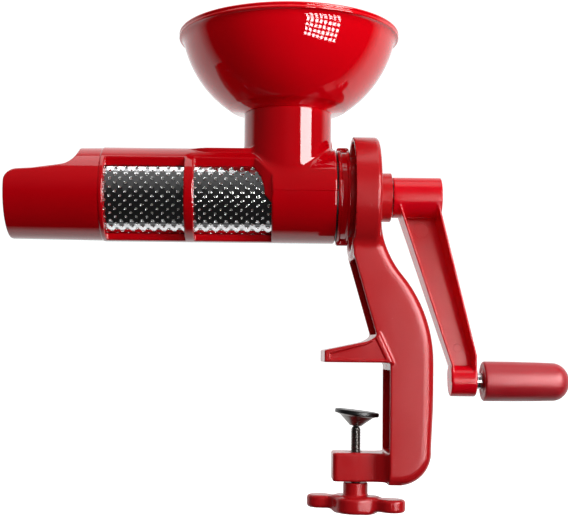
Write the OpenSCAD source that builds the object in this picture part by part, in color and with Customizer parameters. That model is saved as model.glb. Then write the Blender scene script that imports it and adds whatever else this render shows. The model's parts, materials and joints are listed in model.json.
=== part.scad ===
// Clamp-on hand crank food mill: a screen barrel with a bowl hopper on a C-clamp stand.
// Origin: the table seat, under the upper jaw, on the clamp screw's axis. +X runs from the
// spout to the crank, +Z is up. Millimetres.

/* [Main axis] */
// Height of the barrel and crank axis above the table seat
axis_z = 132; // [130:1:134]

/* [Barrel] */
// Outer radius of the barrel
barrel_r = 37.6; // [37:0.1:38]
// Outer radius of the spout
spout_r = 36.8; // [36.4:0.1:36.9]
// X of the spout's lower lip
spout_x = -277; // [-282:1:-274]
// X of the barrel's end at the stand
barrel_end_x = -18.9; // [-19.2:0.1:-18.7]

/* [Windows] */
// Left and right X of the window nearer the spout
window_a = [-199.4, -137.2];
// Left and right X of the window nearer the feed tube
window_b = [-129.7, -69];
// Half width of the closed cap over the windows
cap_half = 26.6; // [25:0.2:27]
// Half width of the keel under the windows
keel_half = 6.4; // [5:0.2:8]

/* [Feed tube and bowl] */
// X of the feed tube's axis
tube_x = -56.6; // [-58:0.2:-56]
// Outer radius of the feed tube
tube_r = 34.9; // [34.4:0.1:35]
// Wall of the feed tube
tube_wall = 4; // [3.5:0.1:4]
// Height of the feed tube's top
tube_top = 198; // [196:1:200]
// Outer radius of the bowl's rim
bowl_r = 88; // [87:0.1:88.4]
// Height of the bowl's rim
bowl_top = 262.5; // [261:0.5:263]
// Wall of the bowl
bowl_wall = 2.4; // [2:0.1:2.8]

/* [Screen and auger] */
// Outer radius of the strainer screen
screen_r = 32; // [31.8:0.1:32]
// Sheet thickness of the screen
screen_t = 0.6; // [0.5:0.1:0.8]
// Length of one turn of the auger's flight
auger_pitch = 34; // [30:1:40]
// Radius of the auger's flight
auger_r = 30.4; // [29:0.2:30.4]

/* [Stand] */
// Radius of the stand's round head
head_r = 47.4; // [46:0.2:48]
// Width of the stand's channel
frame_w = 54; // [50:1:56]
// Wall of the stand's channel
frame_wall = 2.8; // [2.4:0.1:3.2]
// Width of the upper jaw
jaw_w = 58; // [56:1:61]
// Gap between the two jaws
jaw_gap = 70.9; // [70:0.1:71.2]
// Width of the lower jaw
lower_jaw_w = 27; // [26:0.5:28]

/* [Clamp screw] */
// Radius of the clamp screw (M8)
screw_r = 4; // [4:0.1:4]
// Tilt of the pad on its stop
pad_tilt = 6.5; // [5:0.1:6.5]
// Height of the ball in the pad's cup
ball_z = -47.3; // [-47.5:0.1:-47.1]
// Turn of the wing knob
knob_turn = -25; // [-30:0.5:30]
// Radius of the wings' tips
wing_tip_r = 40.8; // [38:0.2:42]

/* [Crank] */
// Distance from the shaft to the grip's axis
throw = 146; // [144:1:147]
// Radius of the crank's hub
hub_r = 16.2; // [15.8:0.1:16.4]
// Radius of the boss under the grip
boss_r = 12.3; // [12:0.1:12.6]
// Wall of the crank's channel
crank_wall = 2; // [1.8:0.1:2.4]

/* [Grip] */
// Largest radius of the grip
grip_r = 15.8; // [15.4:0.1:16]
// X of the grip's end by the boss
grip_x = 100.4; // [99:0.2:101]
// Length of the grip
grip_len = 68.5; // [66:0.5:70]

/* [Hidden] */
$fn = 96;

red = "#c01824";
glossy_red = "#c8061c";
steel = "#c8cacc";
dark_steel = "#77797c";
rubber = "#1c1c1e";
eps = 0.01;          // overlap that keeps cuts clean
far = 400;           // longer than any part

// barrel
barrel_in = screen_r + 0.05;   // the barrel's bore holds the screen
spout_slant = 0.4;   // how far the spout's lower lip runs past its sides
throat_x = -64;      // where the feed opens into the barrel, right of the screen
throat_half = 22;    // half width of the raised fairing beside the feed tube
nose_x = -139;       // end of that fairing
guard_r = tube_r + 2.5;
guard_low = -10;     // the guard around the feed tube ends this far below the axis

// head and shaft
ring_r = 37;
ring_tab = 39.2;     // reach of the ring's finger tabs
spigot_r = barrel_in - 0.35;
spigot_x = -24;
head_x = [-4.6, 15];
head_web = 4;        // wall of the head's right face
collar_x = 26;
collar_r = 19.2;
bush_r = 9;
shaft_r = 6;
run_gap = 0.06;      // radial clearance of running fits
seal_r = 10.6;

// stand: radii and corners of its side view, as [x, z]
jaw_tip = [-27, 9.3];
arm_in_x = 24;
arm_out_x = 57.6;
foot_z = -93.9;
lower_jaw = [-19, -93.4];

// crank
crank_hub_x = [27.5, 66];
crank_boss_x = [74.4, 94.5];
crank_top = 4;       // how far above the axis the arm's walls start
boss_z = axis_z - throw;
square_w = 9;        // the shaft's square ends
axle_r = 4;

// clamp
nut_flat = 13;
nut_h = 6.5;
knob_top = -94.9;
wing_top = -106.3;
wing_bottom = -116.4;
knob_low = -119.2;
neck_r = 2.2;
ball_r = 3.9;
thread_top = -52.3;
cup_low = -50.4;
cup_top = -41;
rubber_top = -38.4;

// Points of an arc about [cx, cz] from angle a to angle b in n steps
function arc(cx, cz, r, a, b, n = 8) =
    [for (i = [0:n]) let (t = a + (b - a) * i / n) [cx + r * cos(t), cz + r * sin(t)]];

// Lays a shape that stands on Z along +X, on the main axis, from x0
module along_x(x0, z = axis_z) {
    translate([x0, 0, z]) rotate([0, 90, 0]) children();
}

// Extrudes an outline drawn as [x, z] to a plate of width w across Y, centred on y
module plate_y(w, y = 0) {
    translate([0, y + w / 2, 0]) rotate([90, 0, 0]) linear_extrude(w) children();
}

// ---- barrel ----

// Side view of what the open trough of the spout leaves out
module spout_cut() {
    z = axis_z;
    polygon(concat(
        [[spout_x - 20, z + 60], [spout_x - 20, z + 5]],
        arc(spout_x + 11, z + 4.5, 10.7, 175, 100, 6),
        [[-254.6, z + 16], [-234.7, z + 19]],
        arc(-235.6, z + 33.2, 14.2, -70, 0, 6),
        [[-221.4, z + 60]]));
}

// The windows of both sides: x is their left and right edge
module window(x) {
    w = x[1] - x[0];
    for (side = [-1, 1]) {
        translate([x[0], side > 0 ? cap_half : -far - cap_half, axis_z - eps])
            cube([w, far, barrel_r]);
        translate([x[0], side > 0 ? keel_half : -far - keel_half, axis_z - far])
            cube([w, far, far]);
    }
}

module barrel_housing() {
    len = barrel_end_x - spout_x;
    color(glossy_red) difference() {
        union() {
            along_x(spout_x) cylinder(r = spout_r, h = len);
            along_x(window_a[0] - 3.6) cylinder(r = barrel_r, h = barrel_end_x - window_a[0] + 3.6);
            translate([tube_x, 0, axis_z]) cylinder(r = tube_r, h = tube_top - axis_z);
            translate([0, 0, axis_z]) linear_extrude(barrel_r - 2.6) {
                translate([nose_x + throat_half, 0]) circle(throat_half);
                translate([nose_x + throat_half, -throat_half])
                    square([tube_x - nose_x - throat_half, 2 * throat_half]);
            }
            // gusset at the foot of the tube
            translate([-30, -3, axis_z + 20]) cube([9, 6, barrel_r - 12]);
            translate([-25.5, 3, axis_z + barrel_r + 7]) rotate([90, 0, 0])
                cylinder(r = 4.5, h = 6);
        }
        along_x(spout_x - 1) cylinder(r = barrel_in, h = len + 2);
        // the bore of the feed tube, and the throat below it
        translate([tube_x, 0, axis_z + barrel_r + 1.5])
            cylinder(r = tube_r - tube_wall, h = far);
        intersection() {
            translate([tube_x, 0, axis_z]) cylinder(r = tube_r - tube_wall, h = 60);
            translate([throat_x, -far / 2, axis_z]) cube([far, far, 60]);
        }
        // the open top and the slanted mouth of the spout
        plate_y(far) spout_cut();
        plate_y(far) polygon([[spout_x - 20, axis_z + 60], [spout_x - 20, axis_z - 60],
            [spout_x - 1, axis_z - 60], [spout_x, axis_z - barrel_r],
            [spout_x + spout_slant, axis_z], [spout_x + spout_slant, axis_z + 60]]);
        window(window_a);
        difference() {
            window(window_b);
            translate([tube_x, 0, axis_z + guard_low]) cylinder(r = guard_r, h = 60);
        }
    }
}

module housing_seal() {
    color(rubber) along_x(barrel_end_x) difference() {
        cylinder(r = 35.2, h = 1.4);
        translate([0, 0, -1]) cylinder(r = spigot_r, h = 4);
    }
}

module strainer_screen() {
    color(steel) along_x(-205) difference() {
        cylinder(r = screen_r, h = 139.5);
        translate([0, 0, -1]) cylinder(r = screen_r - screen_t, h = 142);
    }
}

// Ring with a finger tab at the top and at the bottom
module locking_ring() {
    w = 9.4;
    color(glossy_red) along_x(-17.3) difference() {
        union() {
            cylinder(r = ring_r, h = w);
            translate([-ring_tab, -4.5, 0]) cube([2 * ring_tab, 9, w]);
        }
        translate([0, 0, -1]) cylinder(r = spigot_r + 0.5, h = w + 2);
    }
}

// ---- bowl ----

module hopper_bowl() {
    // the bowl's wall follows a sphere about ball_c, down to a neck that plugs into the tube
    ball_c = bowl_top + 12.8;
    ball_o = 86.9;
    ball_i = ball_o - bowl_wall;
    neck_o = tube_r - tube_wall - 0.3;
    neck_i = neck_o - bowl_wall;
    neck_low = tube_top - 18;
    high = 12;       // angle below the sphere's centre at which the wall meets the rim
    color(glossy_red) translate([tube_x, 0, 0]) rotate_extrude($fn = 160) polygon(concat(
        [[neck_i, neck_low], [neck_o, neck_low], [neck_o, tube_top], [tube_r, tube_top],
            [tube_r + 2, tube_top + 0.6]],
        [for (a = [-58:4:-high - 2]) [ball_o * cos(a), ball_c + ball_o * sin(a)]],
        [[ball_o * cos(high), bowl_top - 5], [bowl_r, bowl_top - 5]],
        arc(bowl_r - 1.6, bowl_top - 1.6, 1.6, 0, 90, 4),
        arc(bowl_r - 3, bowl_top - 1.6, 1.6, 90, 150, 4),
        [for (a = [-high + 2:-4:-58]) [ball_i * cos(a), ball_c + ball_i * sin(a)]],
        [[neck_i + 6, tube_top + 2.6], [neck_i + 1.5, tube_top - 0.5], [neck_i, tube_top - 4]]));
}

// ---- auger and shaft ----

auger_x = [-214, -26];

// Screw flight: a flat bar from r0 to r1, t thick, that climbs len along Z
module flight(r0, r1, t, len) {
    steps = ceil(len / auger_pitch * 28);
    points = [for (i = [0:steps]) let (a = 360 * len / auger_pitch * i / steps, z = len * i / steps)
        for (p = [[r0, -t / 2], [r1, -t / 4], [r1, t / 4], [r0, t / 2]])
            [p[0] * cos(a), p[0] * sin(a), z + p[1]]];
    faces = concat(
        [[3, 2, 1, 0]],
        [for (i = [0:steps - 1]) for (k = [0:3]) let (n = (k + 1) % 4)
            [4 * i + k, 4 * i + n, 4 * i + 4 + n, 4 * i + 4 + k]],
        [[for (k = [0:3]) 4 * steps + k]]);
    polyhedron(points, faces);
}

module auger() {
    len = auger_x[1] - auger_x[0];
    color("#e8e4dc") difference() {
        along_x(auger_x[0]) union() {
            rotate_extrude() polygon([[0, -8], [5, -7], [9, -3], [12, 0], [19, 20], [19, len - 60],
                [15, len - 50], [15, len], [0, len]]);
            translate([0, 0, 16]) flight(11, auger_r, 4.4, len - 22);
        }
        // bore for the spring and the shaft, and the square socket
        along_x(-54) cylinder(r = 11, h = 60);
        translate([-90, -square_w / 2 - 0.1, axis_z - square_w / 2 - 0.1])
            cube([60, square_w + 0.2, square_w + 0.2]);
    }
}

// Compression spring around the shaft: one swept coil
module auger_spring() {
    turns = 5;
    len = 23.5;
    mean_r = 8.8;
    wire_r = 0.8;
    sides = 8;
    steps = turns * 16;
    points = [for (i = [0:steps]) let (t = 360 * turns * i / steps)
        for (k = [0:sides - 1]) let (s = 360 * k / sides, r = mean_r + wire_r * cos(s))
            [r * cos(t), r * sin(t), len * i / steps + wire_r * sin(s)]];
    faces = concat(
        [[for (k = [0:sides - 1]) k]],
        [for (i = [0:steps - 1]) for (k = [0:sides - 1]) let (n = (k + 1) % sides)
            [i * sides + k, (i + 1) * sides + k, (i + 1) * sides + n, i * sides + n]],
        [[for (k = [sides - 1:-1:0]) steps * sides + k]]);
    color(steel) along_x(-50.6) polyhedron(points, faces);
}

module thrust_washer() {
    color(steel) along_x(-25.9) difference() {
        cylinder(r = 12.5, h = 1.6);
        translate([0, 0, -1]) cylinder(r = shaft_r + 0.2, h = 4);
    }
}

module drive_shaft() {
    s = square_w;
    color(steel) difference() {
        union() {
            along_x(-52) cylinder(r = shaft_r, h = 52 + crank_hub_x[0] - 0.05);
            translate([-84, -s / 2, axis_z - s / 2]) cube([34, s, s]);
            translate([crank_hub_x[0] - 0.1, -s / 2, axis_z - s / 2]) cube([29, s, s]);
        }
        along_x(42) cylinder(r = 2.5, h = 30);
    }
}

module bearing_bush() {
    color("#d8d2c0") along_x(-9) difference() {
        union() {
            cylinder(r = bush_r, h = collar_x + 10);
            translate([0, 0, collar_x + 9]) cylinder(r = bush_r + 3, h = 1);
        }
        translate([0, 0, -1]) cylinder(r = shaft_r + run_gap, h = far);
    }
}

module shaft_seal() {
    color(rubber) along_x(-15) difference() {
        cylinder(r = seal_r, h = 6);
        translate([0, 0, -1]) cylinder(r = shaft_r + 0.3, h = 8);
    }
}

// ---- stand ----

// Right-hand outline of the stand's arm, from the head down to its foot
function arm_back() = concat(
    [[11, 112]],
    arc(96.2, 119, 81, 190, 216, 6),
    arc(arm_out_x - 108, 0, 108, 36, 0, 8),
    [[arm_out_x, -33]],
    arc(31, -69.2, 25.2, 5, -75, 8),
    [[34, foot_z]]);

module arm_outline() {
    polygon(concat(
        [[head_x[0], 112], [-5, 84.5], [12.6, 24], [arm_in_x, 0], [arm_in_x, foot_z + 0.5]],
        [for (i = [len(arm_back()) - 1:-1:0]) arm_back()[i]]));
}

// The outline pulled in by one wall on its right, and left open on its left
module arm_hollow() {
    intersection() {
        translate([-frame_wall * 1.25, 0]) arm_outline();
        translate([-frame_wall * 0.6, frame_wall]) arm_outline();
        translate([-40, 0.5 - jaw_gap]) square([120, 85.5 + jaw_gap]);
    }
    // the open side, towards the spout
    polygon([[-20, 82], [3, 82], [24, 24], [30, 21], [30, 12], [-20, 40]]);
    translate([15, 0.5 - jaw_gap]) square([20, jaw_gap - 6.5]);
}

module upper_jaw_outline() {
    polygon(concat([[jaw_tip[0] + 1, 0], [jaw_tip[0], 1], [jaw_tip[0], jaw_tip[1] - 1],
        [jaw_tip[0] + 1, jaw_tip[1]]],
        arc(-2, 37, 22, -70, -40, 4),
        [[15.3, 22], [25.7, 0]]));
}

// Jaw that carries the nut: a bar that flares into the arm
module lower_jaw_shape() {
    w = lower_jaw_w / 2;
    flare = 12;
    x1 = 13;
    translate([0, 0, lower_jaw[1]]) linear_extrude(-jaw_gap - lower_jaw[1]) polygon(concat(
        arc(lower_jaw[0] + 4, w - 4, 4, 180, 90, 4),
        arc(x1, w + flare, flare, -90, -10, 6),
        [[34, frame_w / 2], [34, -frame_w / 2]],
        arc(x1, -w - flare, flare, 10, 90, 6),
        arc(lower_jaw[0] + 4, -w + 4, 4, -90, -180, 4)));
}

module head() {
    rim = 3;
    // turned about the main axis, drawn as [radius, x]
    along_x(0) rotate_extrude() polygon(concat(
        [[seal_r, spigot_x], [spigot_r, spigot_x], [spigot_r, head_x[1] - head_web],
            [head_r - rim, head_x[1] - head_web], [head_r - rim, head_x[0]], [head_r, head_x[0]]],
        arc(head_r - 3, head_x[1] - 3, 3, 0, 90, 4),
        [[collar_r, head_x[1]], [collar_r, collar_x - 0.8], [collar_r - 0.8, collar_x],
            [bush_r, collar_x], [bush_r, -9], [seal_r, -9]]));
}

module clamp_frame() {
    side = frame_w / 2 - frame_wall;
    color(red) difference() {
        union() {
            head();
            difference() {
                plate_y(frame_w) arm_outline();
                plate_y(2 * side) arm_hollow();
                along_x(-60) cylinder(r = head_r - 2, h = 60 + head_x[1] - head_web);
            }
            plate_y(jaw_w) upper_jaw_outline();
            lower_jaw_shape();
        }
        // screw hole and nut pocket
        translate([0, 0, foot_z - 1]) cylinder(r = screw_r + 0.5, h = 40);
        translate([0, 0, lower_jaw[1] - eps]) cylinder(r = nut_flat / sqrt(3) + 0.1, h = nut_h, $fn = 6);
        // recessed panel on each side of the upper jaw
        for (s = [-1, 1]) plate_y(1.6, s * jaw_w / 2)
            polygon([[-19, 2.5], [-19, 6.5], [12, 14], [16, 17], [16, 2.5]]);
        // the spigot is a tube around the shaft's boss
        along_x(spigot_x - 1) difference() {
            cylinder(r = spigot_r - 3.5, h = head_x[1] - head_web - spigot_x + 1);
            cylinder(r = seal_r + 4, h = far);
        }
    }
}

module clamp_nut() {
    color(dark_steel) translate([0, 0, lower_jaw[1]]) difference() {
        cylinder(r = nut_flat / sqrt(3), h = nut_h - 0.2, $fn = 6);
        translate([0, 0, -1]) cylinder(r = screw_r + run_gap, h = 20);
    }
}

// ---- clamp screw and pad ----

module clamp_screw() {
    low = wing_top - 4;
    color(dark_steel) rotate_extrude() polygon([[0, low], [screw_r, low], [screw_r, thread_top],
        [screw_r - 1, thread_top + 1], [neck_r, thread_top + 1], [neck_r, ball_z + 3.2], [3.3, ball_z + 3.2],
        [2.6, ball_z + 5.2], [0, ball_z + 5.2]]);
}

module wing_knob() {
    wing_w = 20;
    color(red) difference() {
        union() {
            translate([0, 0, wing_top - 1]) cylinder(r = 9.8, h = knob_top - wing_top + 1);
            translate([0, 0, knob_low]) cylinder(r = 17, h = wing_top - knob_low);
            translate([0, 0, wing_bottom]) rotate(knob_turn) linear_extrude(wing_top - wing_bottom)
                union() {
                    for (s = [-1, 1]) translate([s * (wing_tip_r - wing_w / 2), 0]) circle(wing_w / 2);
                    square([2 * wing_tip_r - wing_w, 15], center = true);
                }
        }
        translate([0, 0, wing_top - 4]) cylinder(r = screw_r, h = 30);
    }
}

module swivel_ball() {
    color(steel) translate([0, 0, ball_z]) difference() {
        intersection() {
            sphere(r = ball_r);
            translate([-10, -10, -3]) cube([20, 20, 6]);
        }
        translate([0, 0, -10]) cylinder(r = neck_r + run_gap, h = 20);
    }
}

// Everything that tilts with the pad
module tilted() {
    translate([0, 0, ball_z]) rotate([0, pad_tilt, 0]) translate([0, 0, -ball_z]) children();
}

module pad_cup() {
    color(dark_steel) tilted() difference() {
        rotate_extrude() polygon([[0, cup_low], [4.8, cup_low], [6, cup_low + 1.4],
            [13.2, cup_top - 1.7], [15, cup_top - 0.9], [15, cup_top], [0, cup_top]]);
        translate([0, 0, ball_z]) sphere(r = ball_r + 0.3);
        translate([0, 0, cup_low - 1]) cylinder(r1 = 4.1, r2 = 3.1, h = ball_z - 2.4 - cup_low + 1);
        translate([0, 0, ball_z + 2]) cylinder(r = 4.4, h = cup_top - ball_z);
    }
}

module pad_rubber() {
    color(rubber) tilted() rotate_extrude() polygon([[0, cup_top], [15.4, cup_top],
        [15.4, cup_top - 0.7], [17.5, cup_top - 0.7], [17.5, rubber_top - 1.4],
        [16.1, rubber_top], [0, rubber_top]]);
}

// ---- crank ----

// Side view of the arm, as [x, z], shrunk by m on both sides
module crank_outline(m = 0) {
    x = crank_boss_x + [0.2 + m, -0.2 - m];
    polygon([[27.8 + m, axis_z + crank_top], [61 - m, axis_z + crank_top],
        [x[1], boss_z + boss_r + 8], [x[1], boss_z], [x[0], boss_z], [x[0], boss_z + 12]]);
}

// End view of the arm, as [y, z]: deep at the hub, shallow at the boss
module crank_depth(front, back) {
    rotate([90, 0, 90]) linear_extrude(far)
        polygon([[front, axis_z + crank_top + 1], [front, axis_z], [front + 4.7, boss_z - 1],
            [back - 4.7, boss_z - 1], [back, axis_z], [back, axis_z + crank_top + 1]]);
}

module crank_arm() {
    front = -14.5;
    back = 14.5;
    color(glossy_red) difference() {
        union() {
            along_x(crank_hub_x[0]) cylinder(r = hub_r, h = crank_hub_x[1] - crank_hub_x[0]);
            along_x(crank_boss_x[0], boss_z)
                cylinder(r = boss_r, h = crank_boss_x[1] - crank_boss_x[0]);
            difference() {
                intersection() {
                    plate_y(far) crank_outline();
                    crank_depth(front, back);
                }
                // the channel, open towards the front
                intersection() {
                    plate_y(far) crank_outline(crank_wall);
                    crank_depth(front - 30, back - 2.5);
                    translate([0, -far / 2, boss_z]) cube([far, far, throw]);
                }
            }
        }
        // square socket, screw recess and axle bore
        translate([26, -square_w / 2 - 0.05, axis_z - square_w / 2 - 0.05])
            cube([31, square_w + 0.1, square_w + 0.1]);
        along_x(50) cylinder(r = 2.8, h = 20);
        along_x(crank_hub_x[1] - 5) cylinder(r = 8, h = 10);
        along_x(crank_boss_x[0] + 2, boss_z) cylinder(r = axle_r, h = 40);
    }
}

module crank_washer() {
    color(steel) along_x(crank_hub_x[1] - 5) difference() {
        cylinder(r = 7.4, h = 1.2);
        translate([0, 0, -1]) cylinder(r = 2.7, h = 4);
    }
}

module crank_screw() {
    color(steel) difference() {
        union() {
            along_x(44) cylinder(r = 2.5, h = crank_hub_x[1] - 3.8 - 44 + eps);
            along_x(crank_hub_x[1] - 3.8) cylinder(r = 5, h = 3.4);
        }
        along_x(crank_hub_x[1] - 2.4) cylinder(r = 2.4, h = 5, $fn = 6);
    }
}

module grip_axle() {
    color(steel) union() {
        along_x(crank_boss_x[0] + 2, boss_z)
            cylinder(r = axle_r, h = grip_x + 50.3 - crank_boss_x[0] - 2);
        along_x(crank_boss_x[1], boss_z) cylinder(r = 6.5, h = grip_x - crank_boss_x[1] - 0.3);
    }
}

module grip_retaining_ring() {
    color(steel) along_x(145.5, boss_z) difference() {
        cylinder(r = 6, h = 1.2);
        translate([0, 0, -1]) cylinder(r = axle_r, h = 4);
    }
}

module hand_grip() {
    dome = 13;
    flat = grip_len - dome;
    tip_r = grip_r - 0.8;
    color(red) along_x(grip_x, boss_z) difference() {
        rotate_extrude() polygon(concat([[0, 0]],
            arc(grip_r - 2, 2, 2, -90, 0, 4),
            [for (i = [0:9]) let (t = i * 10) [tip_r * cos(t), flat + dome * sin(t)]],
            [[0, grip_len]]));
        translate([0, 0, -1]) cylinder(r = axle_r + run_gap, h = 52);
        translate([0, 0, 44.7]) cylinder(r = 6.6, h = 2.8);
    }
}

clamp_frame();
bearing_bush();
shaft_seal();
clamp_nut();
barrel_housing();
housing_seal();
strainer_screen();
locking_ring();
hopper_bowl();
auger();
auger_spring();
thrust_washer();
drive_shaft();
crank_arm();
crank_washer();
crank_screw();
grip_axle();
grip_retaining_ring();
hand_grip();
clamp_screw();
wing_knob();
swivel_ball();
pad_cup();
pad_rubber();
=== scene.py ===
"""Clamp-on hand crank food mill: the looks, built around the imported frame.

Lengths in the shape code are millimetres in the row frame (+X spout to crank, +Z up, origin at
the table seat); meshes are scaled to metres as they are made. The moulded plastic parts are
signed distance fields, meshed with rounded edges and fillets. Turned parts are lathed outlines.
"""
import json
import math

import bmesh
import bpy
import numpy as np
from mathutils import Matrix, Vector

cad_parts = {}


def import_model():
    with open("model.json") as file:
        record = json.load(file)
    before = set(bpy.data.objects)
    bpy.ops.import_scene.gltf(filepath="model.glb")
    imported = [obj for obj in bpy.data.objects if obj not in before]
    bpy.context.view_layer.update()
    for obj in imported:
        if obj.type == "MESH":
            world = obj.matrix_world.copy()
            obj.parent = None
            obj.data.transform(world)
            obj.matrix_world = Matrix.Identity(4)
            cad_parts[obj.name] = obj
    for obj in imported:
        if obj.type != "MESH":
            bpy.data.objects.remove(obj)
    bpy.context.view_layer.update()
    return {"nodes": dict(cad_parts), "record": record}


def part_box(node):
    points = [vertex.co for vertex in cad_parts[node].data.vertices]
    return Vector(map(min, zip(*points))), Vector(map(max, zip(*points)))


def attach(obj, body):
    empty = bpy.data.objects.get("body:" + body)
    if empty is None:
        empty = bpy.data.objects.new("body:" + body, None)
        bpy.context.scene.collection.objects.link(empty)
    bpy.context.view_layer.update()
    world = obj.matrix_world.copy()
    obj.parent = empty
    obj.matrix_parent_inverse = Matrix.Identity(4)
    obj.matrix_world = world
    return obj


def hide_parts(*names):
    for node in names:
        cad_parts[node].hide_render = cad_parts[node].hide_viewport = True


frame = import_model()
MM = 0.001


# ---- places, read from the frame ----

def span(node, axis):
    """Lowest and highest coordinate of a CAD node along one axis, in mm."""
    low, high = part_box(node)
    return low[axis] / MM, high[axis] / MM


X, Y, Z = 0, 1, 2
BARREL_X = span("barrel_housing", X)
BARREL_R = span("barrel_housing", Y)[1]
AXIS_Z = sum(span("drive_shaft", Z)) / 2
BOWL_X = span("hopper_bowl", X)
BOWL_R = (BOWL_X[1] - BOWL_X[0]) / 2
BOWL_TOP = span("hopper_bowl", Z)[1]
TUBE_X = sum(BOWL_X) / 2
TUBE_TOP = span("barrel_housing", Z)[1]
SCREEN_X = span("strainer_screen", X)
SCREEN_R = span("strainer_screen", Y)[1]
RING_X = span("locking_ring", X)
HEAD_R = span("clamp_frame", Z)[1] - AXIS_Z
FRAME_X = span("clamp_frame", X)
FOOT_Z = span("clamp_frame", Z)[0]
HUB_X0 = span("crank_arm", X)[0]
HUB_R = span("crank_arm", Z)[1] - AXIS_Z
BOSS_X1 = span("crank_arm", X)[1]
GRIP_X = span("hand_grip", X)
GRIP_R = span("hand_grip", Y)[1]
GRIP_Z = sum(span("hand_grip", Z)) / 2
KNOB_Z = span("wing_knob", Z)
SCREW_R = span("clamp_screw", X)[1]
NUT_Z = span("clamp_nut", Z)
BALL_Z = sum(span("swivel_ball", Z)) / 2


# ---- distance fields ----

def blend_min(a, b, k):
    """Union of two fields with a fillet of about k."""
    h = np.maximum(k - np.abs(a - b), 0)
    return np.minimum(a, b) - h * h / (4 * k)


def blend_max(a, b, k):
    """Intersection of two fields with the edge rounded by about k."""
    return -blend_min(-a, -b, k)


def tube(a, b, r):
    """Endless cylinder of radius r in the plane of a and b."""
    return np.sqrt(a * a + b * b) - r


def slab(t, low, high):
    """Space between two planes."""
    return np.maximum(low - t, t - high)


def boxed(*pairs, r=0.8):
    """Box with rounded edges: pairs of (coordinate, low, high)."""
    out = None
    for t, low, high in pairs:
        side = slab(t, low, high)
        out = side if out is None else blend_max(out, side, r)
    return out


def outline(points):
    """Distance to a closed outline of (a, b) points, negative inside."""
    pts = [np.array(p, float) for p in points]

    def field(a, b):
        a, b = np.broadcast_arrays(a, b)
        best = np.full(a.shape, 1e9)
        inside = np.zeros(a.shape, bool)
        for p, q in zip(pts, pts[1:] + pts[:1]):
            e = q - p
            wa, wb = a - p[0], b - p[1]
            t = np.clip((wa * e[0] + wb * e[1]) / (e @ e), 0, 1)
            best = np.minimum(best, (wa - t * e[0]) ** 2 + (wb - t * e[1]) ** 2)
            crosses = (b >= p[1]) != (b >= q[1])
            if e[1] != 0:
                inside ^= crosses & (a < p[0] + e[0] * (b - p[1]) / e[1])
        return np.where(inside, -1, 1) * np.sqrt(best)

    return field


def arc(ca, cb, r, start, end, n=10):
    """Points of an arc about (ca, cb) between two angles in degrees."""
    angles = [math.radians(start + (end - start) * i / n) for i in range(n + 1)]
    return [(ca + r * math.cos(t), cb + r * math.sin(t)) for t in angles]


def surface(shape, low, high, step):
    """Vertices and quads of the zero surface of shape(x, y, z) between two corners."""
    axes = [np.arange(a - 2 * step, b + 3 * step, step) for a, b in zip(low, high)]
    x, y, z = axes[0][:, None, None], axes[1][None, :, None], axes[2][None, None, :]
    size = tuple(len(a) for a in axes)
    field = np.broadcast_to(shape(x, y, z), size).astype(np.float32)
    cells = tuple(n - 1 for n in size)
    count = np.zeros(np.prod(cells))
    total = np.zeros((3, np.prod(cells)))
    edges = []
    for axis in range(3):
        near = np.take(field, range(size[axis] - 1), axis)
        far = np.take(field, range(1, size[axis]), axis)
        at = np.argwhere((near < 0) != (far < 0))
        fa, fb = near[tuple(at.T)], far[tuple(at.T)]
        crossing = at.astype(float)
        crossing[:, axis] += fa / (fa - fb)
        u, v = (axis + 1) % 3, (axis + 2) % 3
        corners = []
        for du, dv in ((0, 0), (1, 0), (1, 1), (0, 1)):
            cell = at.copy()
            cell[:, u] -= du
            cell[:, v] -= dv
            flat = np.ravel_multi_index(tuple(np.clip(cell.T, 0, np.array(cells)[:, None] - 1)), cells)
            corners.append(flat)
            count += np.bincount(flat, minlength=len(count))
            for k in range(3):
                total[k] += np.bincount(flat, crossing[:, k], len(count))
        quad = np.stack(corners, 1)
        edges.append(np.where((fa < 0)[:, None], quad, quad[:, ::-1]))
    used = np.flatnonzero(count)
    number = np.full(len(count), -1)
    number[used] = np.arange(len(used))
    verts = (total[:, used] / count[used]).T * step + [a[0] for a in axes]
    for _ in range(4):
        verts = onto_surface(shape, verts, step)
    return verts, number[np.concatenate(edges)]


def onto_surface(shape, verts, step):
    """One Newton step of every vertex towards the zero surface."""
    probe = 0.02 * step
    here = shape(*verts.T)
    slope = np.stack([shape(*(verts + probe * np.eye(3)[k]).T) - here for k in range(3)], 1) / probe
    move = -here[:, None] * slope / np.maximum((slope**2).sum(1), 0.2)[:, None]
    length = np.linalg.norm(move, axis=1, keepdims=True)
    return verts + move * np.minimum(1, 0.4 * step / np.maximum(length, 1e-9))


# ---- meshes ----

def mesh_object(name, verts, faces, smooth=True):
    """An object from vertices in mm."""
    mesh = bpy.data.meshes.new(name)
    mesh.from_pydata((np.asarray(verts) * MM).tolist(), [], [list(f) for f in faces])
    mesh.validate()
    mesh.update()
    if smooth:
        mesh.polygons.foreach_set("use_smooth", [True] * len(mesh.polygons))
    obj = bpy.data.objects.new(name, mesh)
    bpy.context.scene.collection.objects.link(obj)
    return obj


def moulded(name, shape, low, high, step):
    """A piece from a distance field, shaded with the field's own normals."""
    verts, quads = surface(shape, low, high, step)
    obj = mesh_object(name, verts, quads.tolist())
    probe = 0.02
    slope = np.stack([shape(*(verts + probe * axis).T) - shape(*(verts - probe * axis).T)
                      for axis in np.eye(3)], 1)
    slope /= np.maximum(np.linalg.norm(slope, axis=1, keepdims=True), 1e-9)
    obj.data.normals_split_custom_set_from_vertices(slope.tolist())
    return obj


def whole(name, shape, node, step):
    """A moulded piece that fills the box of one CAD node."""
    low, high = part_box(node)
    return moulded(name, shape, [v / MM for v in low], [v / MM for v in high], step)


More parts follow.
